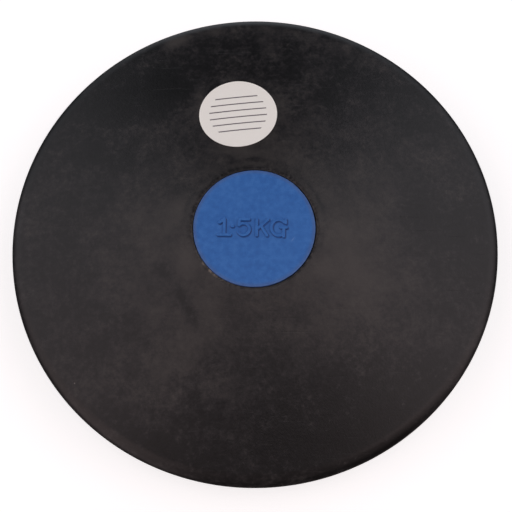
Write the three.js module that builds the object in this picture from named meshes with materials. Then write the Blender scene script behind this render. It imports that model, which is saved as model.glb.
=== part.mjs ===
// A rubber throwing discus of the 1.5 kg class, built as it is moulded. A steel disc is held in a
// black rubber body, a blue rubber centre closes the well in each face, and a round label lies on
// the upper face.
// Millimetres, +Z up along the axis. The origin is the centre of the lower face, and the label
// lies towards +Y.

import * as THREE from "three";

// Outer form of the body
const outerDiameter = 201;
const centreThickness = 39;
const flatDiameter = 52;
const rimRadius = 6.1;
const flatEdgeRound = 5;

// Blue centres, and the wells that take them. The land is the ring of black rubber round a centre,
// out to the corner of the flat.
const flatLand = 1.6;
const centreEdgeRound = 0.5;
const wellEdgeRound = 0.6;
const draftAngle = THREE.MathUtils.degToRad(2);

// Steel core
const coreDiameter = 91;
const coreThickness = 12;
const coreChamfer = 1;

// Label
const labelDiameter = 32.4;
const labelThickness = 0.2;
const labelFromFlat = 9.5;
const labelTurn = THREE.MathUtils.degToRad(6);

// Room between pieces that touch
const seatClearance = 0.3;

// Steps round the axis, and along each arc of a section
const turnSteps = 96;
const labelTurnSteps = 48;
const rimArcSteps = 14;
const blendArcSteps = 4;
const edgeArcSteps = 3;
const labelRings = 4;

// Worked out from the sizes above. Heights in a section are counted from the middle plane.
const faceHeight = centreThickness / 2;
const rimCentreRadius = outerDiameter / 2 - rimRadius;
const flatRadius = flatDiameter / 2;
const centreRadius = flatRadius - flatLand;
const wellRadius = centreRadius + seatClearance / Math.cos(draftAngle);
const coreRadius = coreDiameter / 2;
const coreHeight = coreThickness / 2;
const pocketRadius = coreRadius + seatClearance;
const pocketHeight = coreHeight + seatClearance;
const labelRadius = labelDiameter / 2;
const labelFromAxis = flatRadius + labelFromFlat + labelRadius;
const quarterTurn = Math.PI / 2;

// The taper runs from the corner of the flat to touch the rim's circle. Its slope is the slope to
// the circle's centre, less the angle that the circle's radius takes up from that corner.
const cornerToRimCentre = Math.hypot(rimCentreRadius - flatRadius, faceHeight);
const slopeToRimCentre = Math.atan2(faceHeight, rimCentreRadius - flatRadius);
const taperAngle = slopeToRimCentre - Math.asin(rimRadius / cornerToRimCentre);
const taperApexHeight = faceHeight + flatRadius * Math.tan(taperAngle);

// Points of an arc in a section, from one angle to another.
function arc(centreR, centreZ, radius, fromAngle, toAngle, steps) {
  return Array.from({ length: steps + 1 }, (_, i) => {
    const angle = THREE.MathUtils.lerp(fromAngle, toAngle, i / steps);
    const r = centreR + radius * Math.cos(angle);
    const z = centreZ + radius * Math.sin(angle);
    return new THREE.Vector2(r, z);
  });
}

// A section turned about +Z.
function revolve(section, steps) {
  const geometry = new THREE.LatheGeometry(section, steps);
  return geometry.rotateX(quarterTurn);
}

// Radius of a drafted wall at a height, for a wall with the given radius at the face.
function draftedRadius(mouthRadius, z) {
  return mouthRadius - (faceHeight - z) * Math.tan(draftAngle);
}

// The round where a drafted wall meets the face. The side is 1 for a plug, whose rubber lies
// inside the wall, and -1 for a well, whose rubber lies outside it.
function mouthRound(mouthRadius, radius, side) {
  const reach = radius * (1 + side * Math.sin(draftAngle)) / Math.cos(draftAngle);
  const wallAngle = side > 0 ? -draftAngle : Math.PI - draftAngle;
  return arc(mouthRadius - side * reach, faceHeight - radius, radius, wallAngle, quarterTurn, edgeArcSteps);
}

// Upper half of the body's outside: up the well's wall, over the flat, and down the taper.
function upperSide() {
  const blendRun = flatEdgeRound * Math.tan(taperAngle / 2);
  return [
    new THREE.Vector2(draftedRadius(wellRadius, pocketHeight), pocketHeight),
    ...mouthRound(wellRadius, wellEdgeRound, -1),
    ...arc(
      flatRadius - blendRun,
      faceHeight - flatEdgeRound,
      flatEdgeRound,
      quarterTurn,
      quarterTurn - taperAngle,
      blendArcSteps,
    ),
  ];
}

// The body is a ring: the two wells meet the pocket that holds the core's edge all round.
function bodyGeometry() {
  const upper = upperSide();
  const lower = upper.map((p) => new THREE.Vector2(p.x, -p.y)).reverse();
  const rimReach = quarterTurn - taperAngle;
  const section = [
    new THREE.Vector2(pocketRadius, pocketHeight),
    ...upper,
    ...arc(rimCentreRadius, 0, rimRadius, rimReach, -rimReach, rimArcSteps),
    ...lower,
    new THREE.Vector2(pocketRadius, -pocketHeight),
    new THREE.Vector2(pocketRadius, pocketHeight),
  ];
  return revolve(section.reverse(), turnSteps);
}

// A plain plate disc with its sharp edges broken.
function coreGeometry() {
  const section = [
    new THREE.Vector2(0, -coreHeight),
    new THREE.Vector2(coreRadius - coreChamfer, -coreHeight),
    new THREE.Vector2(coreRadius, -coreHeight + coreChamfer),
    new THREE.Vector2(coreRadius, coreHeight - coreChamfer),
    new THREE.Vector2(coreRadius - coreChamfer, coreHeight),
    new THREE.Vector2(0, coreHeight),
  ];
  return revolve(section, turnSteps);
}

// A drafted plug from the core's face to the face of the discus.
function centreGeometry() {
  const section = [
    new THREE.Vector2(0, pocketHeight),
    new THREE.Vector2(draftedRadius(centreRadius, pocketHeight), pocketHeight),
    ...mouthRound(centreRadius, centreEdgeRound, 1),
    new THREE.Vector2(0, faceHeight),
  ];
  return revolve(section, turnSteps);
}

// A flat disc, rolled onto the taper without stretching. On the taper unrolled flat, a point keeps
// its distance from the apex, and its angle there is the angle round the axis times the cosine of
// the taper.
function labelGeometry() {
  const ring = (i) => labelRadius * (i / labelRings);
  const under = Array.from({ length: labelRings + 1 }, (_, i) => new THREE.Vector2(ring(i), 0));
  const over = under.map((p) => new THREE.Vector2(p.x, labelThickness)).reverse();
  const geometry = revolve([...under, ...over], labelTurnSteps);
  const slantToCentre = labelFromAxis / Math.cos(taperAngle);
  const place = geometry.getAttribute("position");
  for (let i = 0; i < place.count; i++) {
    const across = place.getX(i);
    const along = slantToCentre + place.getY(i);
    const proud = seatClearance + place.getZ(i);
    const slant = Math.hypot(across, along);
    const turn = Math.atan2(across, along) / Math.cos(taperAngle);
    const r = slant * Math.cos(taperAngle) + proud * Math.sin(taperAngle);
    const z = taperApexHeight - slant * Math.sin(taperAngle) + proud * Math.cos(taperAngle);
    place.setXYZ(i, r * Math.sin(turn), r * Math.cos(turn), z);
  }
  geometry.computeVertexNormals();
  return geometry;
}

// A named mesh with a finish of its own.
function piece(name, geometry, finish) {
  const mesh = new THREE.Mesh(geometry, new THREE.MeshStandardMaterial(finish));
  mesh.name = name;
  return mesh;
}

// Finishes
const blackRubber = { color: 0x363233, roughness: 0.7, metalness: 0 };
const blueRubber = { color: 0x355a94, roughness: 0.65, metalness: 0 };
const milledSteel = { color: 0x8d9093, roughness: 0.45, metalness: 1 };
const whiteLabel = { color: 0xd6cfca, roughness: 0.5, metalness: 0 };

const body = piece("body", bodyGeometry(), blackRubber);
const core = piece("steel_core", coreGeometry(), milledSteel);
const upperCentre = piece("upper_centre", centreGeometry(), blueRubber);
const lowerCentre = piece("lower_centre", centreGeometry(), blueRubber);
lowerCentre.rotation.x = Math.PI;
const label = piece("label", labelGeometry(), whiteLabel);
label.rotation.z = labelTurn;

const discus = new THREE.Group();
discus.name = "discus";
discus.add(body, core, upperCentre, lowerCentre, label);
discus.position.z = faceHeight;

export default discus;
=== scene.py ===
# A moulded rubber discus, seen from above on a pale floor. The dictionaries are in millimetres and
# degrees, and the meshes in metres.

import math

import bpy
import numpy as np
from mathutils import Matrix, Vector


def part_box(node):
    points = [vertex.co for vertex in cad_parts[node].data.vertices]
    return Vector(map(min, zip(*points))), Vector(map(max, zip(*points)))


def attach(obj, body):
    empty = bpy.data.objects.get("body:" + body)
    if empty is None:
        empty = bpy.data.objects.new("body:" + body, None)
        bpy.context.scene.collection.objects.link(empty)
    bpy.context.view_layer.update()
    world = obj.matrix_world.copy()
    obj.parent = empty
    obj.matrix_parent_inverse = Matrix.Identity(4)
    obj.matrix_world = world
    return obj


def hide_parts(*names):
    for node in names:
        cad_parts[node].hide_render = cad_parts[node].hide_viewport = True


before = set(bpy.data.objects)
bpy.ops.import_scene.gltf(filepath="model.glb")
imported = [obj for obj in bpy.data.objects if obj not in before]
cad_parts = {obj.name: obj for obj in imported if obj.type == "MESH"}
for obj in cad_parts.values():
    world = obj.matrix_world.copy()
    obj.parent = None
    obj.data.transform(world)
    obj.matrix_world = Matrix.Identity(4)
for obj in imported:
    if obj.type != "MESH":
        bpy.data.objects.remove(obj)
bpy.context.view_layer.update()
print("frame loaded:", sorted(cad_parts))

mm = 0.001

# The camera looks from the near side, 16 degrees off the axis
cameraView = {
    "offAxis": 16.15,  # from straight above, towards -Y
    "roll": -1.61,
    "distance": 478.4,  # from the point looked at
    "lookAt": (0.37, -6.11),  # on the middle plane
    "focalPixels": 1156.1,
    "imagePixels": 512,
    "sensor": 36.0,
}


def placeCamera(view, middleHeight):
    # The camera's own axes: back is turned off the vertical, then right and up are rolled about it.
    tilt, roll = math.radians(view["offAxis"]), math.radians(view["roll"])
    back = Vector((0, -math.sin(tilt), math.cos(tilt)))
    right, up = Vector((1, 0, 0)), Vector((0, math.cos(tilt), math.sin(tilt)))
    rolledRight = math.cos(roll) * right + math.sin(roll) * up
    rolledUp = math.cos(roll) * up - math.sin(roll) * right
    data = bpy.data.cameras.new("camera")
    data.sensor_width = view["sensor"]
    data.lens = view["sensor"] * view["focalPixels"] / view["imagePixels"]
    camera = bpy.data.objects.new("camera", data)
    bpy.context.scene.collection.objects.link(camera)
    lookAt = Vector((view["lookAt"][0] * mm, view["lookAt"][1] * mm, middleHeight))
    place = lookAt + back * view["distance"] * mm
    camera.matrix_world = Matrix(
        (
            (rolledRight.x, rolledUp.x, back.x, place.x),
            (rolledRight.y, rolledUp.y, back.y, place.y),
            (rolledRight.z, rolledUp.z, back.z, place.z),
            (0, 0, 0, 1),
        )
    )
    bpy.context.scene.camera = camera


bodyLow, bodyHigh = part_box("body")
coreLow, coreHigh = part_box("steel_core")
middle = (bodyLow.z + bodyHigh.z) / 2  # height of the middle plane
faceHeight = (bodyHigh.z - bodyLow.z) / 2 / mm  # heights in a section count from the middle plane
outerRadius = bodyHigh.x / mm
coreRadius = coreHigh.x / mm
coreHalf = (coreHigh.z - coreLow.z) / 2 / mm
placeCamera(cameraView, middle)
print("camera placed")


# Arrays that carry a section or a flat sheet of points into a mesh


def arcPoints(centre, radius, fromDegrees, toDegrees, steps):
    # Centre plus the radius times the cosine and sine of evenly spaced angles. The radius may be a
    # pair, for an ellipse.
    angles = np.radians(np.linspace(fromDegrees, toDegrees, steps + 1))
    return np.array(centre) + np.array(radius) * np.stack([np.cos(angles), np.sin(angles)], 1)


def linePoints(start, end, steps):
    # Evenly spaced points between two, without the two themselves.
    share = np.linspace(0, 1, steps + 1)[1:-1, None]
    return np.array(start) * (1 - share) + np.array(end) * share


def gridFaces(rows, columns, wrapRows, wrapColumns):
    # Each cell joins a point to the next along both ways. A wrapped way joins its last to its first.
    i = np.arange(rows if wrapRows else rows - 1)[:, None]
    j = np.arange(columns if wrapColumns else columns - 1)[None, :]
    nextI, nextJ = (i + 1) % rows, (j + 1) % columns
    corners = (i * columns + j, nextI * columns + j, nextI * columns + nextJ, i * columns + nextJ)
    return np.stack([c + 0 * (i + j) for c in corners], -1).reshape(-1, 4)


def fanFaces(ring, hub):
    # Triangles from one point to each side of a ring of points.
    return np.stack([ring, np.roll(ring, -1), np.full(len(ring), hub)], 1)


def smoothStep(low, high, x):
    # 0 below low, 1 above high, and 3t2 - 2t3 between, with t from 0 at low to 1 at high. It falls
    # where low is the greater of the two.
    t = np.clip((x - low) / (high - low), 0, 1)
    return t * t * (3 - 2 * t)


def degreesFrom(angle, azimuth):
    # Each angle's distance from an azimuth the short way round, in degrees: the argument of
    # exp(i (angle - azimuth)).
    return np.degrees(np.angle(np.exp(1j * (angle - math.radians(azimuth)))))


def roundWaves(angle, seed, fewest, most):
    # A sum of sine waves that close after one turn, each weaker as it gets finer, scaled to about 1.
    rng = np.random.default_rng(seed)
    counts = np.arange(fewest, most + 1)
    phases = rng.uniform(0, 2 * np.pi, len(counts))
    sizes = rng.uniform(0.4, 1.0, len(counts)) / np.sqrt(counts)
    waves = sizes * np.sin(np.multiply.outer(angle, counts) + phases)
    return waves.sum(-1) / np.sqrt((sizes**2).sum())


def makePiece(name, points, faceSets, sharpDegrees):
    # Points in millimetres from the middle plane's centre. The faces are turned to point outwards,
    # which is so when the sum of the signed volumes under them is positive.
    points = points.reshape(-1, 3)
    volume = 0.0
    for faces in faceSets:
        a = points[faces[:, 0]]
        for k in range(1, faces.shape[1] - 1):
            volume += np.einsum("ij,ij->i", a, np.cross(points[faces[:, k]], points[faces[:, k + 1]])).sum()
    turned = [faces[:, ::-1] if volume < 0 else faces for faces in faceSets]
    mesh = bpy.data.meshes.new(name)
    placed = points * mm + np.array([0, 0, middle])
    mesh.from_pydata(placed.tolist(), [], [face for faces in turned for face in faces.tolist()])
    mesh.shade_smooth()
    mesh.set_sharp_from_angle(angle=math.radians(sharpDegrees))
    piece = bpy.data.objects.new(name, mesh)
    bpy.context.scene.collection.objects.link(piece)
    print(name, len(points), "points")
    return piece


def addAttribute(piece, name, values):
    # One number for each point, for the material to read.
    attribute = piece.data.attributes.new(name, "FLOAT", "POINT")
    attribute.data.foreach_set("value", np.asarray(values, np.float32).ravel())


def finishPiece(piece, node, material):
    # Gives a piece its material and its body, and hides the CAD node that it stands in for.
    piece.data.materials.append(material)
    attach(piece, "root")
    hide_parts(node)


# Colours and nodes


def linear(hexColour):
    # sRGB hex to the linear red, green and blue that shaders take, with alpha 1.
    parts = [int(hexColour[k : k + 2], 16) / 255 for k in (1, 3, 5)]
    return tuple(c / 12.92 if c <= 0.04045 else ((c + 0.055) / 1.055) ** 2.4 for c in parts) + (1.0,)


def perLength(size):
    # The scale of a texture on Object coordinates whose features are this many millimetres wide.
    return 1 / (size * mm)


def addNode(tree, kind, settings=None, links=None):
    # Adds a shader node of a kind. A setting is a socket's value, by name or number, a colour ramp's
    # stops, or one of the node's own properties. A link is a socket and the (node, output) that
    # feeds it.
    node = tree.nodes.new("ShaderNode" + kind)
    for name, value in (settings or {}).items():
        if name == "stops":
            ramp = node.color_ramp
            while len(ramp.elements) < len(value):
                ramp.elements.new(0.5)
            for element, (position, colour) in zip(ramp.elements, value):
                element.position = position
                element.color = colour
        elif isinstance(name, int) or name in node.inputs:
            node.inputs[name].default_value = value
        else:
            setattr(node, name, value)
    for name, (source, output) in (links or {}).items():
        tree.links.new(source.outputs[output], node.inputs[name])
    return node


multiply = {"operation": "MULTIPLY"}


def newMaterial(name):
    material = bpy.data.materials.new(name)
    material.use_nodes = True
    material.node_tree.nodes.clear()
    return material, material.node_tree


# Body: black rubber, flat in the middle of each face, tapered straight to a rounded rim
bodyForm = {
    "flatRadius": 26.0,  # corner between the flat and the taper
    "flatEdgeRound": 5.0,
    "rimRadius": 6.1,
    "land": 1.6,  # black rubber on the flat, round the centre
    "wellEdgeRound": 0.3,
    "wellGap": 0.3,
    "draft": 2.0,
    "seam": 0.07,  # the gap that shows round the centre, where it is tight
    "seamWave": 0.05,
    "seamWaves": (11, 5, 60),  # seed, fewest and most waves in a turn
    "seamLeast": 0.03,
    # Where the seam is wider or tighter: direction and half width in degrees, and by how much
    "openSeams": [(-25, 48, 0.2), (20, 30, 0.1), (188, 20, 0.12), (225, 25, -0.1)],
    "seamReach": (1.4, 0.2),  # from the mouth, where the rubber begins to follow the seam and where it does
    "seamDepth": (5.0, 1.0),  # and under the face
    "lipOut": 0.12,  # how far the seam lies outside the centre's nominal edge
    "lipWave": 0.07,  # height of the lip's unevenness
    "lipWaves": (13, 14, 110),
    "lipReach": (2.2, 0.4),  # outside the mouth, where it begins and where it is full
    "lipDepth": (3.0, 1.0),
    "dirtyLip": (226, 15),  # direction and half width in degrees
    "dirtyReach": (0.6, 1.1, 0.3),  # inside the mouth, and outside it, where the dirt begins and is full
    "partingProud": 0.12,  # trimmed flash round the middle of the rim
    "partingWidth": 0.5,
    "handWear": 0.6,  # how much more is rubbed at the greater radius, where hands hold it
    "wearRadii": (30, 85),
    "lowerWear": 0.25,  # the lower face is rubbed less, and elsewhere, by a turn of this many steps
    "lowerTurn": 97,
    "turnSteps": 360,
    "taperSteps": 64,
    "rimSteps": 40,
}

# Patches of the upper face where hands and ground have rubbed the bloom: X, Y, half length, half
# width, turn in degrees and strength. A negative strength is a paler patch.
rubbedPatches = [
    (-30, -26, 4, 2.2, -60, 0.8),  # scuffs below the centre's left
    (-26, -33, 5, 2.0, -55, 0.8),
    (-37, -16, 4, 2.4, -30, 0.8),
    (-52, -33, 6, 3, 0, 0.35),
    (-18, -54, 5, 3, -50, 0.3),
    (66, 6, 6, 5, -20, 1.1),  # stains on the right
    (72, 2, 11, 6, -25, 0.5),
    (86, 10, 10, 8, -20, 0.5),
    (94, 3, 4, 7, 0, 0.6),
    (85, -12, 6, 18, 0, 0.5),
    (93, -22, 4, 9, 0, 0.4),
    (-76, 3, 6, 13, 8, 0.45),  # and on the left
    (-28, 20, 6, 5, 30, 0.5),
    (-48, 62, 26, 14, 20, 0.6),  # dark clouds at the top
    (-38, 68, 9, 7, 0, 1.6),
    (-56, 62, 9, 8, 0, 0.7),
    (-43, 86, 7, 4, 30, 0.6),
    (3, 76, 6, 7, 0, 0.45),
    (-40, 84, 12, 4, 20, -0.35),
    (-13, 74, 5, 4, 0, 0.75),
    (-55, 36, 26, 7, 0, 0.25),
    (39, 66, 6, 12, -15, 0.5),
    (17.5, 54, 3, 5, 0, 0.7),
    (29, 56, 5, 5, 0, 0.5),
    (20, 68, 5, 5, 0, 0.5),
    (16, 85, 3, 4, 0, 0.9),
    (-12, 31, 5, 2.5, 0, 0.5),
    (-24, 33, 4, 4, 0, 0.5),
    (25, 91, 8, 4, 0, -0.5),
    (-65, 33, 12, 6, 0, 0.3),
    (38, 33, 12, 6, 20, 0.3),
    (26, 32, 10, 4, 0, 0.35),
    (-40, 19, 14, 5, 0, 0.3),
    (56, 65, 8, 6, 0, 0.5),
    (4, -45, 10, 16, 0, 0.4),  # and at the bottom
    (18, -69, 12, 9, 0, 0.6),
    (40, -55, 9, 8, 0, 0.5),
    (30, -78, 26, 16, 15, 0.45),
    (12, -93, 10, 5, 0, 0.5),
    (57, -70, 20, 9, 42, 1.1),
    (39, -82, 17, 8, 22, 1.05),
    (2, -83, 8, 6, 0, 0.35),
    (64, -57, 9, 4, -20, 0.4),
    (-31, 90, 7, 3, 20, -1.2),  # pale smudges
    (-15, 94, 5, 3, 8, -0.9),
    (8, 88, 6, 8, 0, -0.4),
    (9, 95, 9, 3, -5, -0.5),
    (41, 84, 5, 4, 0, -0.6),
    (54, 77, 5, 4, 0, -0.5),
    (-21, 62, 3, 5, -10, -0.7),
    (-6, 33, 14, 4, 0, -0.35),
    (31, 71, 4, 4, 0, -0.45),
    (38, -4, 10, 10, 0, -0.4),
    (45, -22, 22, 11, -15, -0.45),
    (55, 20, 10, 8, 0, -0.3),
    (74, -47, 6, 7, 0, -0.3),
    (-25, -45, 6, 16, -25, -0.35),
    (-39, -56, 7, 7, 0, -0.5),
    (-44, -30, 6, 16, 20, -0.3),
    (-10, -68, 8, 12, 0, -0.35),
    (-32, 9, 5, 6, 0, -0.6),
    (-27, -15, 5, 6, 10, -0.5),
    (-58, -66, 14, 8, -40, -0.25),
]

# Dark arcs round the centre, then along the rim, where it is gripped: radius, direction and half
# # length in degrees, half width and strength. The two at radius 25 are painted shadow in the seam
# # just outside the centre's lip, not wear.
darkArcsAndShadowRing = [
    # painted shadow: a dark ring in the seam just outside the centre's lip
    (25.2, 118, 44, 1.1, 1.0),
    (25.0, 318, 22, 0.8, 0.6),
    (29.3, 90, 26, 0.9, 0.5),
    (28.6, 22, 18, 0.7, 0.7),
    (27.2, -10, 12, 0.9, 0.6),
    (28.6, 152, 18, 0.8, 0.5),
    (26.8, 180, 12, 0.7, 0.6),
    (94, -52, 18, 3, 0.35),
    (94, 245, 14, 6, 0.6),
    (96, 135, 12, 3, 0.5),
    (98, 158, 10, 3, 0.7),
    (96, 4, 9, 4, 0.6),
    (98, 205, 25, 2.5, 0.4),
    (98.5, 75, 32, 2.2, 0.8),
    (97, -14, 10, 3, 0.4),
]


def taperAngle(form):
    # The slope from the flat's corner to the rim circle's centre, less the angle that the circle's
    # radius takes up from there.
    run = outerRadius - form["rimRadius"] - form["flatRadius"]
    return math.atan2(faceHeight, run) - math.asin(form["rimRadius"] / math.hypot(run, faceHeight))


def wellRadius(form):
    # The centre's radius at the face, and the gap over the cosine of the draft.
    return form["flatRadius"] - form["land"] + form["wellGap"] / math.cos(math.radians(form["draft"]))


def bodySection(form):
    # The section of the upper half, from the pocket's corner up the well, out over the flat and down
    # the taper to the rim, then its mirror image. It closes on itself round the core's pocket.
    taper = math.degrees(taperAngle(form))
    draft = math.radians(form["draft"])
    pocketHeight, pocketRadius = coreHalf + form["wellGap"], coreRadius + form["wellGap"]
    mouth, edge = wellRadius(form), form["wellEdgeRound"]
    edgeCentre = mouth + edge * (1 - math.sin(draft)) / math.cos(draft)
    wallFoot = mouth - (faceHeight - pocketHeight) * math.tan(draft)
    blend = form["flatEdgeRound"]
    blendStart = form["flatRadius"] - blend * math.tan(math.radians(taper / 2))
    rimCentre = (outerRadius - form["rimRadius"], 0.0)
    lip = arcPoints((edgeCentre, faceHeight - edge), edge, 180 - form["draft"], 90, 6)
    crease = arcPoints((blendStart, faceHeight - blend), blend, 90, 90 - taper, 8)
    rim = arcPoints(rimCentre, form["rimRadius"], 90 - taper, taper - 90, form["rimSteps"])
    upper = np.concatenate(
        [
            [(pocketRadius, pocketHeight), (wallFoot, pocketHeight)],
            linePoints((wallFoot, pocketHeight), lip[0], 10),
            lip,
            linePoints(lip[-1], crease[0], 3),
            crease,
            linePoints(crease[-1], rim[0], form["taperSteps"]),
        ]
    )
    lower = upper[::-1] * np.array([1, -1])
    return np.concatenate([upper, rim, lower])


def makeBody(form, patches, arcs):
    # Each point of the section is carried round the axis: x = r cos a, y = r sin a. Its radius is
    #     # then moved near the well's mouth, to leave the seam's gap a little outside the centre's nominal
    #     # edge, and near the middle plane, by the parting line. Its height is moved by fine waves along
    #     # the lip. What is rubbed is a sum of soft spots and arcs, each its strength times
    #     # exp(-a2 - b2), with a and b the distances from its middle in its own half sizes. The arcs just
    #     # outside the centre are painted shadow, not wear.
    section = bodySection(form)
    angle = np.linspace(0, 2 * np.pi, form["turnSteps"], endpoint=False)
    r = np.repeat(section[:, :1], len(angle), 1)
    z = np.repeat(section[:, 1:], len(angle), 1)
    depth = faceHeight - np.abs(z)
    mouth = wellRadius(form)
    seam = form["seam"] + form["seamWave"] * roundWaves(angle, *form["seamWaves"])
    for azimuth, halfWidth, gap in form["openSeams"]:
        seam = seam + gap * np.exp(-((degreesFrom(angle, azimuth) / halfWidth) ** 2))
    nearLip = smoothStep(*form["seamReach"], np.abs(r - mouth)) * smoothStep(*form["seamDepth"], depth)
    r = r + nearLip * (np.maximum(seam, form["seamLeast"]) + form["lipOut"] - form["wellGap"])
    lipHeight = form["lipWave"] * roundWaves(angle, *form["lipWaves"])
    begins, full = form["lipReach"]
    besideWell = smoothStep(mouth + begins, mouth + full, r) * smoothStep(*form["lipDepth"], depth)
    z = z + np.sign(z) * lipHeight * besideWell
    r = r + form["partingProud"] * np.exp(-((z / (form["partingWidth"] / 2)) ** 2))
    x, y = r * np.cos(angle), r * np.sin(angle)
    body = makePiece("rubber_body", np.stack([x, y, z], -1), [gridFaces(*r.shape, True, True)], 55)
    rubbed = np.zeros_like(x)
    for px, py, long, wide, turn, strength in patches:
        c, s = math.cos(math.radians(turn)), math.sin(math.radians(turn))
        along, across = (x - px) * c + (y - py) * s, (y - py) * c - (x - px) * s
        rubbed += strength * np.exp(-((along / long) ** 2) - (across / wide) ** 2)
    for radius, azimuth, halfTurn, wide, strength in arcs:
        away = degreesFrom(angle, azimuth)
        rubbed += strength * np.exp(-((away / halfTurn) ** 2) - ((r - radius) / wide) ** 2)
    rubbed += form["handWear"] * (smoothStep(*form["wearRadii"], r) - 0.5)
    azimuth, halfWidth = form["dirtyLip"]
    inside, begins, full = form["dirtyReach"]
    onLip = smoothStep(mouth - inside, mouth, r) * smoothStep(mouth + begins, mouth + full, r) * (z > 0)
    addAttribute(body, "lipDirt", onLip * np.exp(-((degreesFrom(angle, azimuth) / halfWidth) ** 2)))
    lower = form["lowerWear"] * np.roll(rubbed, form["lowerTurn"], axis=1)
    addAttribute(body, "rubbed", np.where(z > 0, rubbed, lower))
    return body


# Natural rubber with carbon black, pressed in a blasted steel mould. The eye sees a near-black, matt
# ground with a fine even grain, under a brownish-grey bloom that lies in clouds and is rubbed off
# where hands hold it.
blackRubberLook = {
    "bare": "#020202",  # where every trace of bloom is gone
    "rubbed": "#0c0c0d",
    "black": "#1b1a1b",
    "bloom": "#33312f",
    "dust": "#77716f",
    "crumbs": "#6e675d",
    "roughness": 0.3,
    "bloomRoughness": 0.38,
    "ior": 1.42,
    "evenBloom": 0.39,  # bloom on an untouched face, and what each pattern adds or takes
    "cloudShare": 0.15,
    "smokeShare": 0.32,
    "fretShare": 0.4,
    "rubbedFret": 0.95,  # and adds to the fret where it is rubbed
    "smokeInFret": 0.2,
    "wipeLeast": 0.35,  # a rub takes at least this share, even in the fret's hollows
    "cloudSize": 46.0,
    "smokeSize": 13.0,
    "fretSize": 2.4,  # ragged edge of the rubbed places
    "grainSize": 0.9,  # the blasted grain is about 0.2 mm, drawn coarser so that it shows
    "grainDepth": 0.045,
    "waveDepth": 0.05,  # slow unevenness of the pressed face
    "scratchSize": (22.0, 0.5, 30.0),  # along, across, up
    "scratchTurn": 35.0,
    "scratchDepth": 0.6,  # of the grain's
    "dustSpacing": 9.0,
    "dustSize": 0.035,  # of the spacing
    "dustLottery": 0.8,  # a cell has a speck where its own random number is above this
    "dustCover": 0.5,
}


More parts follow.
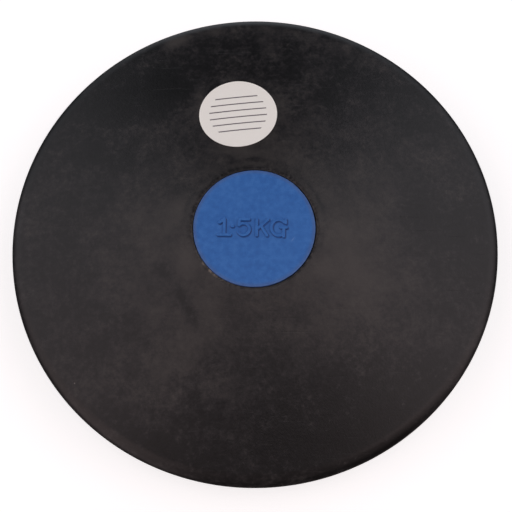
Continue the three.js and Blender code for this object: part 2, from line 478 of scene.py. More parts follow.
def blackRubber(look):
    material, tree = newMaterial("black_moulded_rubber")
    onPiece = {"Vector": (addNode(tree, "TexCoord"), "Object")}
    noises = {}
    for name, detail, roughness, distortion in (
        ("cloud", 5.0, 0.6, 0.5),
        ("smoke", 7.0, 0.7, 0.2),
        ("fret", 6.0, 0.8, 0.0),
        ("grain", 3.0, 0.6, 0.0),
    ):
        scale = perLength(look[name + "Size"])
        shape = {"Scale": scale, "Detail": detail, "Roughness": roughness, "Distortion": distortion}
        noises[name] = addNode(tree, "TexNoise", shape, onPiece)
    # The rubbed attribute also holds a ring of painted shadow just outside the centre
    rubbed = addNode(tree, "Attribute", {"attribute_name": "rubbed"})
    # Bloom left on the surface: clouds, smoke and fret, less what is rubbed off raggedly
    evens = {}
    for name, share in (("cloud", look["cloudShare"]), ("smoke", 1.0), ("fret", 1.0)):
        span = {"From Min": 0.3, "From Max": 0.7, "To Min": -share, "To Max": share}
        evens[name] = addNode(tree, "MapRange", span, {"Value": (noises[name], "Fac")})
    smokeLevel = {"operation": "MULTIPLY_ADD", 1: look["smokeShare"], 2: look["evenBloom"]}
    smoky = addNode(tree, "Math", smokeLevel, {0: (evens["smoke"], 0)})
    fretLevel = {"operation": "MULTIPLY_ADD", 1: look["rubbedFret"], 2: look["fretShare"]}
    fretShare = addNode(tree, "Math", fretLevel, {0: (rubbed, "Fac")})
    plusSmoke = {"operation": "MULTIPLY_ADD", 1: look["smokeInFret"]}
    mixed = addNode(tree, "Math", plusSmoke, {0: (evens["smoke"], 0), 2: (evens["fret"], 0)})
    fretted = addNode(tree, "Math", multiply, {0: (mixed, 0), 1: (fretShare, 0)})
    wipe = {"From Min": 0.36, "From Max": 0.6, "To Min": look["wipeLeast"]}
    ragged = addNode(tree, "MapRange", wipe, {"Value": (noises["fret"], "Fac")})
    wiped = addNode(tree, "Math", multiply, {0: (rubbed, "Fac"), 1: (ragged, 0)})
    broad = addNode(tree, "Math", {"operation": "ADD"}, {0: (evens["cloud"], 0), 1: (smoky, 0)})
    spread = addNode(tree, "Math", {"operation": "ADD"}, {0: (broad, 0), 1: (fretted, 0)})
    bloomLeft = addNode(tree, "Math", {"operation": "SUBTRACT"}, {0: (spread, 0), 1: (wiped, 0)})
    veil = addNode(tree, "MapRange", {"From Min": -1.0, "From Max": 1.0}, {"Value": (bloomLeft, 0)})
    depths = ((0.0, "bare"), (0.5, "rubbed"), (0.675, "black"), (1.0, "bloom"))
    stops = [(position, linear(look[name])) for position, name in depths]
    veiled = addNode(tree, "ValToRGB", {"stops": stops}, {"Fac": (veil, 0)})
    # A few pale specks of dust
    cell = addNode(tree, "TexVoronoi", {"Scale": perLength(look["dustSpacing"])}, onPiece)
    near = addNode(tree, "Math", {"operation": "LESS_THAN", 1: look["dustSize"]}, {0: (cell, "Distance")})
    lottery = addNode(tree, "SeparateColor", None, {"Color": (cell, "Color")})
    drawn = {"operation": "GREATER_THAN", 1: look["dustLottery"]}
    chosen = addNode(tree, "Math", drawn, {0: (lottery, 0)})
    speck = addNode(tree, "Math", multiply, {0: (near, 0), 1: (chosen, 0)})
    cover = addNode(tree, "Math", {"operation": "MULTIPLY", 1: look["dustCover"]}, {0: (speck, 0)})
    # Dirt crumbs along the lip of the well, broken up by the fret
    lipDirt = addNode(tree, "Attribute", {"attribute_name": "lipDirt"})
    gaps = {"From Min": 0.46, "From Max": 0.58}
    broken = addNode(tree, "MapRange", gaps, {"Value": (noises["fret"], "Fac")})
    crumbs = addNode(tree, "Math", multiply, {0: (lipDirt, "Fac"), 1: (broken, 0)})
    # The dust, then the crumbs, go over the bloom
    colour = (veiled, 0)
    for name, share in (("dust", cover), ("crumbs", crumbs)):
        layer = {"data_type": "RGBA", 7: linear(look[name])}
        colour = (addNode(tree, "Mix", layer, {0: (share, 0), 6: colour}), 2)
    gloss = {"To Min": look["roughness"], "To Max": look["bloomRoughness"]}
    roughness = addNode(tree, "MapRange", gloss, {"Value": (bloomLeft, 0)})
    # Slow waves of the face, the grain of the mould, and long faint scratches
    stretch = {
        "Rotation": (0, 0, math.radians(look["scratchTurn"])),
        "Scale": [perLength(size) for size in look["scratchSize"]],
    }
    lengthways = addNode(tree, "Mapping", stretch, onPiece)
    streaks = {"Scale": 1.0, "Detail": 2.0, "Distortion": 0.4}
    scratch = addNode(tree, "TexNoise", streaks, {"Vector": (lengthways, 0)})
    groove = {"From Min": 0.66, "From Max": 0.74, "To Max": look["scratchDepth"]}
    scratched = addNode(tree, "MapRange", groove, {"Value": (scratch, "Fac")})
    relief = addNode(
        tree,
        "Math",
        {"operation": "SUBTRACT"},
        {0: (noises["grain"], "Fac"), 1: (scratched, 0)},
    )
    waveBump = {"Strength": 1.0, "Distance": look["waveDepth"] * mm}
    waves = addNode(tree, "Bump", waveBump, {"Height": (noises["smoke"], "Fac")})
    grainBump = {"Strength": 1.0, "Distance": look["grainDepth"] * mm}
    bump = addNode(tree, "Bump", grainBump, {"Height": (relief, 0), "Normal": (waves, 0)})
    surface = {"Base Color": colour, "Roughness": (roughness, 0), "Normal": (bump, 0)}
    shader = addNode(tree, "BsdfPrincipled", {"IOR": look["ior"]}, surface)
    addNode(tree, "OutputMaterial", None, {"Surface": (shader, 0)})
    return material


# Centres: blue rubber plugs, level with the faces. The upper one has the raised mass mark.
centreForm = {
    "edgeRound": 0.35,
    "edgeWave": 0.06,
    "edgeWaves": (4, 50),  # fewest and most in a turn
    "edgeDepth": 3.0,  # how far down the wall the edge's unevenness reaches
    "fineStep": 0.1,  # grid over the mark
    "coarseStep": 0.8,  # grid elsewhere
}
markForm = {
    "place": (-0.85, 0.15),
    "turn": -2.6,
    "halfLength": 14.3,
    "halfHeight": 4.4,
    "margins": (0.6, 1.0),  # fine grid beyond the mark's ends, and above and below it
    "squeeze": (0.97, 0.88),  # what pressing the grid into a disc leaves of its reach, at least
    "strokeWidth": 1.2,
    "proud": 0.6,
    "wallRun": 0.26,  # how far a stroke's side spreads from top to foot
    "shadowShift": (-0.3, 0.3),  # the painted shadow, with some dirt, lies on the strokes' lower right
    # how far the painted shadow reaches beside a stroke
    "dirtWidth": 0.3,
    "ringShadeAndDirt": 0.3,  # and fainter painted shade with some dirt all round them
    "ringReach": (0.1, 0.25),  # full and gone this far from a stroke
    "capHeight": 3.3,  # stroke centres, above and below the mark's middle line
}


def markStrokes(cap):
    # The strokes of 1.5 kg in plain capitals, each a run of points in millimetres.
    return [
        np.array([(-13.1, cap - 1.5), (-12.0, cap - 0.8), (-11.15, cap), (-11.15, -cap)]),
        np.array([(-13.6, -cap), (-8.8, -cap)]),
        np.array([(-8.1, 0.4), (-7.7, 0.4)]),
        np.array([(-1.35, cap), (-5.15, cap), (-5.3, 0.75)]),
        arcPoints((-3.5, -0.85), (2.42, 2.45), 138, -148, 26),
        np.array([(1.8, cap), (1.8, -cap)]),
        np.array([(1.8, -0.8), (6.3, cap)]),
        np.array([(3.45, 0.75), (5.9, -cap)]),
        arcPoints((10.6, 0), (2.95, cap), 42, 310, 30),
        np.array([(13.35, cap), (13.35, cap - 1.3)]),
        np.array([(11.4, 0.1), (13.7, 0.1)]),
        np.array([(12.6, 0.1), (12.6, -cap - 0.3)]),
    ]


def strokeDistance(x, y, strokes):
    # For each point, the distance to the nearest of all the strokes' short straight pieces.
    starts = np.concatenate([s[:-1] for s in strokes])
    ends = np.concatenate([s[1:] for s in strokes])
    nearest = np.full(x.shape, 1e3)
    for (ax, ay), (bx, by) in zip(starts, ends):
        dx, dy = bx - ax, by - ay
        t = np.clip(((x - ax) * dx + (y - ay) * dy) / (dx * dx + dy * dy), 0, 1)
        nearest = np.minimum(nearest, np.hypot(x - ax - t * dx, y - ay - t * dy))
    return nearest


def markRelief(x, y, mark):
    # Height and painted shadow at each point, in the mark's own turned axes. A point is raised where it
    #     # lies within half a stroke's width of a stroke. It gets painted shadow, with some dirt, where it
    #     # lies off the stroke and on the same stroke shifted to its lower right, and fainter painted shade
    #     # with some dirt just off it on any side.
    placeX, placeY = mark["place"]
    shiftX, shiftY = mark["shadowShift"]
    full, gone = mark["ringReach"]
    half, run = mark["strokeWidth"] / 2, mark["wallRun"] / 2
    turn = math.radians(mark["turn"])
    markX = (x - placeX) * math.cos(turn) + (y - placeY) * math.sin(turn)
    markY = (y - placeY) * math.cos(turn) - (x - placeX) * math.sin(turn)
    strokes = markStrokes(mark["capHeight"])
    distance = strokeDistance(markX, markY, strokes)
    fromShifted = strokeDistance(markX + shiftX, markY + shiftY, strokes)
    fall = smoothStep(half - run, half + run, distance)
    shadowAndDirtBeside = smoothStep(half + mark["dirtWidth"], half, fromShifted)
    allRound = smoothStep(half, half + full, distance) * smoothStep(half + gone, half + full, distance)
    return mark["proud"] * (1 - fall), np.maximum(shadowAndDirtBeside * fall, mark["ringShadeAndDirt"] * allRound)


def gradedLine(half, fineHalf, fineStep, coarseStep):
    # Places from -half to half, close together within fineHalf of the middle and wide beyond.
    inner = np.linspace(-fineHalf, fineHalf, 2 * round(fineHalf / fineStep) + 1)
    outer = np.linspace(fineHalf, half, round((half - fineHalf) / coarseStep) + 1)[1:]
    return np.concatenate([-outer[::-1], inner, outer])


def makeCentre(name, form, mark, side, marked, seed):
    # The face is a square grid pressed into a disc: x = u sqrt(1 - v2/2), y = v sqrt(1 - u2/2), with
    # u and v from -1 to 1. From its edge, rings go over the edge's round, down the drafted wall and
    # in to the middle of the back. Near the face the rings are moved out to the lip and in by waves.
    draft = math.radians(bodyForm["draft"])
    radius = bodyForm["flatRadius"] - bodyForm["land"]
    edge, fine, coarse = form["edgeRound"], form["fineStep"], form["coarseStep"]
    back = coreHalf + bodyForm["wellGap"]
    edgeCentre = radius - edge * (1 + math.sin(draft)) / math.cos(draft)
    reach = (mark["halfLength"] + abs(mark["place"][0]) + mark["margins"][0]) / mark["squeeze"][0]
    rise = (mark["halfHeight"] + abs(mark["place"][1]) + mark["margins"][1]) / mark["squeeze"][1]
    u = gradedLine(edgeCentre, reach, fine if marked else coarse, coarse) / edgeCentre
    v = gradedLine(edgeCentre, rise, fine if marked else coarse, coarse) / edgeCentre
    v, u = np.meshgrid(v, u, indexing="ij")
    x = edgeCentre * u * np.sqrt(1 - v**2 / 2)
    y = edgeCentre * v * np.sqrt(1 - u**2 / 2)
    # dirt here holds the painted shadow and dirt round the strokes
    raised, dirt = markRelief(x, y, mark) if marked else np.zeros((2, *x.shape))
    face = np.stack([x, y, faceHeight + raised], -1)
    rows, columns = x.shape
    index = np.arange(rows * columns).reshape(rows, columns)
    rim = np.concatenate([index[0, :-1], index[:-1, -1], index[-1, :0:-1], index[:0:-1, 0]])
    angle = np.arctan2(y, x).ravel()[rim]
    wallTop = arcPoints((edgeCentre, faceHeight - edge), edge, 90, -bodyForm["draft"], 6)[1:]
    wallFoot = (radius - (faceHeight - back) * math.tan(draft), back)
    section = np.concatenate([wallTop, linePoints(wallTop[-1], wallFoot, 5), [wallFoot]])
    section = np.concatenate([section, linePoints(wallFoot, (0.0, back), 6)])
    wander = form["edgeWave"] * roundWaves(angle, seed, *form["edgeWaves"])
    nearEdge = smoothStep(form["edgeDepth"], 0.0, faceHeight - section[:, 1]) * (section[:, 0] > edgeCentre)
    r = section[:, :1] - nearEdge[:, None] * np.abs(wander)
    r = r + bodyForm["lipOut"] * nearEdge[:, None]
    rings = np.stack([r * np.cos(angle), r * np.sin(angle), 0 * r + section[:, 1:]], -1)
    hub = np.array([[0, 0, back]])
    points = np.concatenate([face.reshape(-1, 3), rings.reshape(-1, 3), hub])
    if side < 0:
        points = points * np.array([1, -1, -1])
    ringIndex = rows * columns + np.arange(r.size).reshape(r.shape)
    ringIndex = np.concatenate([rim[None, :], ringIndex])
    bands = gridFaces(*ringIndex.shape, False, True)
    faceSets = [
        gridFaces(rows, columns, False, False),
        ringIndex.ravel()[bands],
        fanFaces(ringIndex[-1], len(points) - 1),
    ]
    centre = makePiece(name, points, faceSets, 70)
    addAttribute(centre, "footDirt", np.concatenate([dirt.ravel(), np.zeros(len(points) - dirt.size)]))
    return centre


# Blue pigmented rubber, pressed in the same kind of mould. The eye sees an even, slightly chalky
# # blue with soft mottle, painted shadow and some dirt at the foot of the raised mark, painted shade
# # round the edge, and a scuff.
blueRubberLook = {
    "blue": "#2464ad",
    "paleBlue": "#2f6cb3",
    "deepBlue": "#205da5",
    # dark blue of the painted shadow and dirt at the strokes' foot, and of the painted shade at the edge
    "dirt": "#002f6c",
    "edgeDust": "#5a5653",
    "scuffed": "#5a83bd",
    "roughness": 0.4,
    "ior": 1.45,
    "mottleSize": 2.4,
    "cloudSize": 16.0,
    "chalkShare": 0.35,  # pale blue where the clouds are strongest
    "grainSize": 0.8,
    "grainDepth": 0.03,
    "footDirt": (0.55, 0.95),  # least and most, by the mottle
    "dustFrom": 22.6,  # distance from the axis where grey dust begins, how soon it is full, and how full
    "dustWidth": 1.8,
    "dustShare": 0.35,
    "dirtFrom": 24.2,  # and the same for the painted shade at the very edge beyond it
    "dirtWidth": 0.4,
    "dirtShare": 0.75,
    "scuffPlace": (15.2, -5.3),
    "scuffTurn": 51.0,
    "scuffLength": 2.0,
    "scuffWidth": 0.45,
    "scuffHeight": 5.0,  # reach above and below the face
}


def blueRubber(look):
    material, tree = newMaterial("blue_moulded_rubber")
    onPiece = {"Vector": (addNode(tree, "TexCoord"), "Object")}
    noises = {}
    for name, detail, roughness in (("cloud", 4.0, 0.6), ("mottle", 6.0, 0.72), ("grain", 3.0, 0.6)):
        shape = {"Scale": perLength(look[name + "Size"]), "Detail": detail, "Roughness": roughness}
        noises[name] = addNode(tree, "TexNoise", shape, onPiece)
    tones = ((0.38, "deepBlue"), (0.5, "blue"), (0.62, "paleBlue"))
    stops = [(position, linear(look[name])) for position, name in tones]
    base = addNode(tree, "ValToRGB", {"stops": stops}, {"Fac": (noises["mottle"], "Fac")})
    chalky = {"From Min": 0.4, "From Max": 0.7, "To Max": look["chalkShare"]}
    chalk = addNode(tree, "MapRange", chalky, {"Value": (noises["cloud"], "Fac")})
    # Painted shadow and dirt at the foot of the strokes, most on their lower right
    shadowAndDirtBeside = addNode(tree, "Attribute", {"attribute_name": "footDirt"})
    least, most = look["footDirt"]
    patchy = {"From Min": 0.35, "From Max": 0.65, "To Min": least, "To Max": most}
    uneven = addNode(tree, "MapRange", patchy, {"Value": (noises["mottle"], "Fac")})
    footDirt = addNode(tree, "Math", multiply, {0: (shadowAndDirtBeside, "Fac"), 1: (uneven, 0)})
    # Dust, and painted shade at the very edge, by distance from the axis
    flat = addNode(tree, "VectorMath", {"operation": "MULTIPLY", 1: (1, 1, 0)}, {0: onPiece["Vector"]})
    fromAxis = addNode(tree, "VectorMath", {"operation": "LENGTH"}, {0: (flat, 0)})
    atEdge = {}
    for name in ("dust", "dirt"):
        start, width = look[name + "From"], look[name + "Width"]
        span = {"From Min": start * mm, "From Max": (start + width) * mm, "To Max": look[name + "Share"]}
        atEdge[name] = addNode(tree, "MapRange", span, {"Value": (fromAxis, "Value")})
    # dirt: the painted shadow at the strokes' foot or the painted shade at the edge, whichever is stronger
    dirt = addNode(tree, "Math", {"operation": "MAXIMUM"}, {0: (footDirt, 0), 1: (atEdge["dirt"], 0)})
    # The scuff: a long soft spot, placed, turned and stretched by a Mapping
    scuffX, scuffY = look["scuffPlace"]
    onScuff = {
        "vector_type": "TEXTURE",
        "Location": (scuffX * mm, scuffY * mm, bodyHigh.z),
        "Rotation": (0, 0, math.radians(look["scuffTurn"])),
        "Scale": (look["scuffLength"] * mm, look["scuffWidth"] * mm, look["scuffHeight"] * mm),
    }
    scuffSpace = addNode(tree, "Mapping", onScuff, onPiece)
    soft = {"gradient_type": "QUADRATIC_SPHERE"}
    scuffSpot = addNode(tree, "TexGradient", soft, {"Vector": (scuffSpace, 0)})
    # Each layer goes over the one before, by its own share
    layers = (
        ("paleBlue", (chalk, 0)),
        ("edgeDust", (atEdge["dust"], 0)),
        ("dirt", (dirt, 0)),
        ("scuffed", (scuffSpot, "Fac")),
    )
    colour = (base, 0)
    for name, share in layers:
        layer = {"data_type": "RGBA", 7: linear(look[name])}
        colour = (addNode(tree, "Mix", layer, {0: share, 6: colour}), 2)
    grainBump = {"Strength": 1.0, "Distance": look["grainDepth"] * mm}
    bump = addNode(tree, "Bump", grainBump, {"Height": (noises["grain"], "Fac")})
    gloss = {"To Min": look["roughness"] - 0.05, "To Max": look["roughness"] + 0.1}
    roughness = addNode(tree, "MapRange", gloss, {"Value": (noises["mottle"], "Fac")})
    surface = {"Base Color": colour, "Roughness": (roughness, 0), "Normal": (bump, 0)}
    shader = addNode(tree, "BsdfPrincipled", {"IOR": look["ior"]}, surface)
    addNode(tree, "OutputMaterial", None, {"Surface": (shader, 0)})
    return material


# Label: a round die-cut sticker on the taper
labelForm = {
    "radius": 16.2,
    "fromAxis": 51.7,
    "azimuth": 96.0,
    "thickness": 0.15,
    "glueLine": 0.03,
    "edgeLift": 0.05,  # at the edge, and falling inwards by this power of the radius
    "liftPower": 12,
    "liftWaves": (21, 2, 9),  # seed, fewest and most in a turn
    "rings": 40,
    "turnSteps": 180,
}


def makeLabel(form):
    # A flat disc is rolled onto the taper without stretching. On the taper unrolled flat, a point keeps
    # its distance from the apex, and its angle there is the angle round the axis times the cosine of
    # the taper. The sheet has two sides, which meet in a ring at the edge.
    taper = taperAngle(bodyForm)
    apex = faceHeight + bodyForm["flatRadius"] * math.tan(taper)
    slantToCentre = form["fromAxis"] / math.cos(taper)
    angle = np.linspace(0, 2 * np.pi, form["turnSteps"], endpoint=False)
    share = np.sqrt(np.linspace(0, 1, form["rings"] + 1)[1:])[:, None]
    across = form["radius"] * share * np.cos(angle)
    along = form["radius"] * share * np.sin(angle)
    waves = roundWaves(angle, *form["liftWaves"])
    lift = form["edgeLift"] * share ** form["liftPower"] * (1 + waves)
    under, over = form["glueLine"] + lift, form["glueLine"] + lift + form["thickness"]
    across = np.concatenate([across, across])
    along = np.concatenate([along, along])
    proud = np.concatenate([over, under])
    middles = np.array([[0, 0, form["glueLine"] + form["thickness"]], [0, 0, form["glueLine"]]])
    flat = np.concatenate([np.stack([across, along, proud], -1).reshape(-1, 3), middles])
    slant = np.hypot(flat[:, 0], slantToCentre + flat[:, 1])
    turn = np.arctan2(flat[:, 0], slantToCentre + flat[:, 1]) / math.cos(taper)
    turn = turn - math.radians(form["azimuth"] - 90)
    r = slant * math.cos(taper) + flat[:, 2] * math.sin(taper)
    z = apex - slant * math.sin(taper) + flat[:, 2] * math.cos(taper)
    points = np.stack([r * np.sin(turn), r * np.cos(turn), z], -1)
    count, rings = form["turnSteps"], form["rings"]
    upper = np.arange(rings * count).reshape(rings, count)
    lower = upper[::-1] + rings * count
    strip = np.concatenate([upper, lower])
    hub = 2 * rings * count
    faceSets = [
        strip.ravel()[gridFaces(*strip.shape, False, True)],
        fanFaces(strip[0], hub)[:, ::-1],
        fanFaces(strip[-1], hub + 1),
    ]
    label = makePiece("paper_label", points, faceSets, 40)
    loops = np.zeros(len(label.data.loops), np.int32)
    label.data.loops.foreach_get("vertex_index", loops)
    layer = label.data.uv_layers.new(name="sheet")
    sheet = 0.5 + flat[:, :2] / (2 * form["radius"])  # 0 to 1 across the sticker
    layer.data.foreach_set("uv", sheet[loops].astype(np.float32).ravel())
    return label


# Coated white paper with a pressure-sensitive back, die-cut. The eye sees a warm, slightly grey
# white with a faint sheen, printed with plain grey rules to write on.
paperLook = {
    "paper": "#f4f7ef",
    "shade": "#edf0e8",
    "rule": "#625f62",
    "roughness": 0.42,
    "ior": 1.5,
    "fibreSize": 0.8,
    "fibreDepth": 0.01,
    "rules": 6,
    "rulePitch": 0.1,  # of the width
    "ruleShare": 0.16,  # a rule's thickness as a share of the pitch
    "ruleReach": 0.37,  # the rules end on a circle of this radius
    "ruleTurn": 1.8,
}


def coatedPaper(look):
    # A rule is where the row number's fraction is near a half, in the middle rows and in the circle.
    material, tree = newMaterial("coated_paper")
    place = addNode(tree, "TexCoord")
    centred = {
        "vector_type": "TEXTURE",
        "Location": (0.5, 0.5, 0),
        "Rotation": (0, 0, -math.radians(look["ruleTurn"])),
    }
    turned = addNode(tree, "Mapping", centred, {"Vector": (place, "UV")})
    parts = addNode(tree, "SeparateXYZ", None, {0: (turned, 0)})
    row = addNode(tree, "Math", {"operation": "DIVIDE", 1: look["rulePitch"]}, {0: (parts, 1)})
    within = addNode(tree, "Math", {"operation": "FRACT"}, {0: (row, 0)})
    offMiddle = addNode(tree, "Math", {"operation": "SUBTRACT", 1: 0.5}, {0: (within, 0)})
    offRule = addNode(tree, "Math", {"operation": "ABSOLUTE"}, {0: (offMiddle, 0)})
    halfRule = {"operation": "LESS_THAN", 1: look["ruleShare"] / 2}
    onRule = addNode(tree, "Math", halfRule, {0: (offRule, 0)})
    rowSize = addNode(tree, "Math", {"operation": "ABSOLUTE"}, {0: (row, 0)})
    inRows = addNode(tree, "Math", {"operation": "LESS_THAN", 1: look["rules"] / 2}, {0: (rowSize, 0)})
    fromMiddle = addNode(tree, "VectorMath", {"operation": "LENGTH"}, {0: (turned, 0)})
    circle = {"operation": "LESS_THAN", 1: look["ruleReach"]}
    inCircle = addNode(tree, "Math", circle, {0: (fromMiddle, "Value")})
    bounded = addNode(tree, "Math", multiply, {0: (inRows, 0), 1: (inCircle, 0)})
    printed = addNode(tree, "Math", multiply, {0: (bounded, 0), 1: (onRule, 0)})
    fibres = {"Scale": perLength(look["fibreSize"]), "Detail": 5.0, "Roughness": 0.7}
    fibre = addNode(tree, "TexNoise", fibres, {"Vector": (place, "Object")})
    shades = {"data_type": "RGBA", 6: linear(look["shade"]), 7: linear(look["paper"])}
    paper = addNode(tree, "Mix", shades, {0: (fibre, "Fac")})
    ink = {"data_type": "RGBA", 7: linear(look["rule"])}
    inked = addNode(tree, "Mix", ink, {0: (printed, 0), 6: (paper, 2)})
    fibreBump = {"Strength": 0.6, "Distance": look["fibreDepth"] * mm}
    bump = addNode(tree, "Bump", fibreBump, {"Height": (fibre, "Fac")})
    plain = {"IOR": look["ior"], "Roughness": look["roughness"]}
    shader = addNode(tree, "BsdfPrincipled", plain, {"Base Color": (inked, 2), "Normal": (bump, 0)})
    addNode(tree, "OutputMaterial", None, {"Surface": (shader, 0)})
    return material


# Plate steel, faced on a lathe. The eye would see a grey metal with fine rings round the axis.
steelLook = {
    "steel": "#8d8f92",
    "stain": "#6c6a68",
    "roughness": 0.38,
    "stainRoughness": 0.15,  # and more where it is stained
    "feed": 0.25,  # spacing of the tool marks
    "feedDepth": 0.004,
    "stainSize": 20.0,
}


def facedSteel(look):
    material, tree = newMaterial("faced_plate_steel")
    onPiece = {"Vector": (addNode(tree, "TexCoord"), "Object")}
    faced = {
        "wave_type": "RINGS",
        "rings_direction": "Z",
        "Scale": 2 * math.pi * perLength(look["feed"]) / 20,  # a wave texture has 20 radians to a unit
        "Distortion": 0.3,
    }
    rings = addNode(tree, "TexWave", faced, onPiece)
    stain = addNode(tree, "TexNoise", {"Scale": perLength(look["stainSize"]), "Detail": 5.0}, onPiece)
    shades = {"data_type": "RGBA", 6: linear(look["stain"]), 7: linear(look["steel"])}
    colour = addNode(tree, "Mix", shades, {0: (stain, "Fac")})
    gloss = {"To Min": look["roughness"] + look["stainRoughness"], "To Max": look["roughness"]}
    roughness = addNode(tree, "MapRange", gloss, {"Value": (stain, "Fac")})
    ringBump = {"Strength": 0.5, "Distance": look["feedDepth"] * mm}
    bump = addNode(tree, "Bump", ringBump, {"Height": (rings, "Fac")})
    surface = {"Base Color": (colour, 2), "Roughness": (roughness, 0), "Normal": (bump, 0)}
    shader = addNode(tree, "BsdfPrincipled", {"Metallic": 1.0}, surface)
    addNode(tree, "OutputMaterial", None, {"Surface": (shader, 0)})
    return material


body = makeBody(bodyForm, rubbedPatches, darkArcsAndShadowRing)
finishPiece(body, "body", blackRubber(blackRubberLook))
blue = blueRubber(blueRubberLook)
upperCentre = makeCentre("marked_centre", centreForm, markForm, 1, True, 31)
finishPiece(upperCentre, "upper_centre", blue)
lowerCentre = makeCentre("plain_centre", centreForm, markForm, -1, False, 32)
finishPiece(lowerCentre, "lower_centre", blue)
label = makeLabel(labelForm)
finishPiece(label, "label", coatedPaper(paperLook))
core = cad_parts["steel_core"]
steel = facedSteel(steelLook)
core.data.materials.clear()
core.data.materials.append(steel)
print("pieces made and finished")


# Studio: a lit white table inside a tent of cloth with lamps outside it. The side walls glow, less on
# the camera's side, there is a lamp overhead, and the light is warmer on the camera's side. The
# table has only an upper side, so that a view from below shows the lower face.
studio = {
    "floor": "#bfbfbf",
    "floorGlow": 0.68,
    "floorHalf": 6000.0,
    "floorDrop": 0.15,  # the lip's unevenness reaches this far below the lower face
    "nearLight": "#ffe7e6",
    "farLight": "#f0f5ff",
    "backdropGlow": 0.99,  # what the camera sees above the table
    "nearTurn": 0.25,  # the left wall comes nearer to the camera than the right one
    "nearLower": 0.6,  # the walls reach lower on the camera's side
    "frontHeight": 0.6,  # how much of a direction's height counts towards the front
    "lampLean": 2.9,  # of the lamp overhead, away from the camera
    "fillGlow": 0.05,
}

# Each fade of the tent's light: what part of the direction it goes by, from where to where, the glow
# or the share there, and whether it is smooth or straight. Right, far and up are the parts along X, Y
# and Z, and sideways is right without its sign.
tentFades = {
    "wall": ("sideways", (0.1, 0.45), (0.0, 1.365), "SMOOTHSTEP"),  # the walls' glow
    "wallTop": ("slanted", (-0.6, 0.6), (0.0, 1.0), "SMOOTHSTEP"),  # less of it low down
    "nearEnd": ("askew", (-0.9, -0.45), (0.3, 1.0), "SMOOTHSTEP"),  # on the camera's side
    "farEnd": ("far", (0.3, 0.8), (1.0, 0.6), "SMOOTHSTEP"),  # far from it
    "leftHalf": ("right", (-0.1, 0.1), (0.87, 1.0), "LINEAR"),  # and on the left
    "rightHalf": ("right", (-0.1, 0.1), (0.0, 1.0), "LINEAR"),  # right, near and low: where the tent is open
    "nearPart": ("far", (-0.35, -0.55), (0.0, 1.0), "SMOOTHSTEP"),
    "lowPart": ("up", (0.25, -0.2), (0.0, 0.75), "SMOOTHSTEP"),
    "back": ("far", (0.78, 1.0), (0.0, 0.78), "LINEAR"),  # the back's glow, and less of it high up
    "lowDown": ("up", (0.79, 0.3), (0.0, 1.0), "SMOOTHSTEP"),
    "front": ("frontal", (-0.7, -1.1), (0.0, 0.2), "SMOOTHSTEP"),
    "lamp": ("lampward", (0.981, 1.0), (0.0, 3.7), "LINEAR"),  # by the cosine of the angle to the lamp
    "coolness": ("far", (-0.4, 0.8), (0.0, 1.0), "LINEAR"),  # share of the far light's colour
}


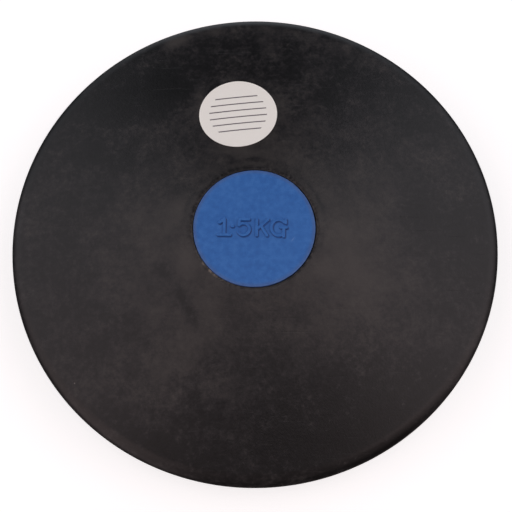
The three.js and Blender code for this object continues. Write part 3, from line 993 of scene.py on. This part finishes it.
def tentOfLight(tree, setting, fadeTable):
    # The brightest of four lights in each direction: the walls, the back, the lamp and the front with
    # an even fill. The walls' glow is a product of fades. Slanted is up less a share of far where far
    # is negative, so that the walls reach lower on the camera's side. Askew is far less a share of
    # right, so that they stand askew, and frontal is far less a share of up.
    direction = addNode(tree, "TexCoord")
    parts = addNode(tree, "SeparateXYZ", None, {0: (direction, "Generated")})
    right, far, up = (parts, 0), (parts, 1), (parts, 2)
    nearward = addNode(tree, "Math", {"operation": "MINIMUM", 1: 0.0}, {0: far})
    lean = math.radians(setting["lampLean"])
    toLamp = {"operation": "DOT_PRODUCT", 1: (0, math.sin(lean), math.cos(lean))}
    lampward = addNode(tree, "VectorMath", toLamp, {0: (direction, "Generated")})
    sources = {"right": right, "far": far, "up": up, "lampward": (lampward, "Value")}
    sources["sideways"] = (addNode(tree, "Math", {"operation": "ABSOLUTE"}, {0: right}), 0)
    for name, share, first, second in (
        ("slanted", setting["nearLower"], (nearward, 0), up),
        ("askew", setting["nearTurn"], right, far),
        ("frontal", setting["frontHeight"], up, far),
    ):
        lessAShare = {"operation": "MULTIPLY_ADD", 1: -share}
        sources[name] = (addNode(tree, "Math", lessAShare, {0: first, 2: second}), 0)
    fades = {}
    for name, (source, (start, end), (first, last), kind) in fadeTable.items():
        span = {"From Min": start, "From Max": end, "To Min": first, "To Max": last}
        span["interpolation_type"] = kind
        fades[name] = addNode(tree, "MapRange", span, {"Value": sources[source]})
    # The tent is open low down at its near right corner
    opened = fades["nearPart"]
    for name in ("lowPart", "rightHalf"):
        opened = addNode(tree, "Math", multiply, {0: (opened, 0), 1: (fades[name], 0)})
    fades["closed"] = addNode(tree, "Math", {"operation": "SUBTRACT", 0: 1.0}, {1: (opened, 0)})
    glow = fades["wall"]
    for name in ("wallTop", "nearEnd", "farEnd", "leftHalf", "closed"):
        glow = addNode(tree, "Math", multiply, {0: (glow, 0), 1: (fades[name], 0)})
    back = addNode(tree, "Math", multiply, {0: (fades["back"], 0), 1: (fades["lowDown"], 0)})
    filled = addNode(tree, "Math", {"operation": "ADD", 1: setting["fillGlow"]}, {0: (fades["front"], 0)})
    for light in (back, fades["lamp"], filled):
        glow = addNode(tree, "Math", {"operation": "MAXIMUM"}, {0: (glow, 0), 1: (light, 0)})
    tints = {"data_type": "RGBA", 6: linear(setting["nearLight"]), 7: linear(setting["farLight"])}
    colour = addNode(tree, "Mix", tints, {0: (fades["coolness"], 0)})
    return addNode(tree, "Background", None, {"Color": (colour, 2), "Strength": (glow, 0)})


def makeStudio(setting, fadeTable):
    half = setting["floorHalf"]
    corners = np.array([(-half, -half), (half, -half), (half, half), (-half, half)]) * mm
    mesh = bpy.data.meshes.new("floor")
    height = bodyLow.z - setting["floorDrop"] * mm
    mesh.from_pydata([(x, y, height) for x, y in corners.tolist()], [], [(0, 1, 2, 3)])
    floor = bpy.data.objects.new("floor", mesh)
    bpy.context.scene.collection.objects.link(floor)
    floor.visible_glossy = False  # so that the rim doesn't mirror the table
    material, tree = newMaterial("lit_white_table")
    litWhite = {
        "Base Color": linear(setting["floor"]),
        "Roughness": 0.8,
        "Emission Color": (1, 1, 1, 1),
        "Emission Strength": setting["floorGlow"],
    }
    shader = addNode(tree, "BsdfPrincipled", litWhite)
    under = addNode(tree, "NewGeometry")
    clear = addNode(tree, "BsdfTransparent")
    oneSided = addNode(tree, "MixShader", None, {0: (under, "Backfacing"), 1: (shader, 0), 2: (clear, 0)})
    addNode(tree, "OutputMaterial", None, {"Surface": (oneSided, 0)})
    mesh.materials.append(material)
    world = bpy.data.worlds.new("studio")
    world.use_nodes = True
    tree = world.node_tree
    tree.nodes.clear()
    tent = tentOfLight(tree, setting, fadeTable)
    backdrop = addNode(tree, "Background", {"Color": (1, 1, 1, 1), "Strength": setting["backdropGlow"]})
    ray = addNode(tree, "LightPath")
    sky = addNode(tree, "MixShader", None, {0: (ray, "Is Camera Ray"), 1: (tent, 0), 2: (backdrop, 0)})
    addNode(tree, "OutputWorld", None, {"Surface": (sky, 0)})
    bpy.context.scene.world = world


makeStudio(studio, tentFades)
bpy.context.scene.view_settings.view_transform = "Standard"
print("studio lit")
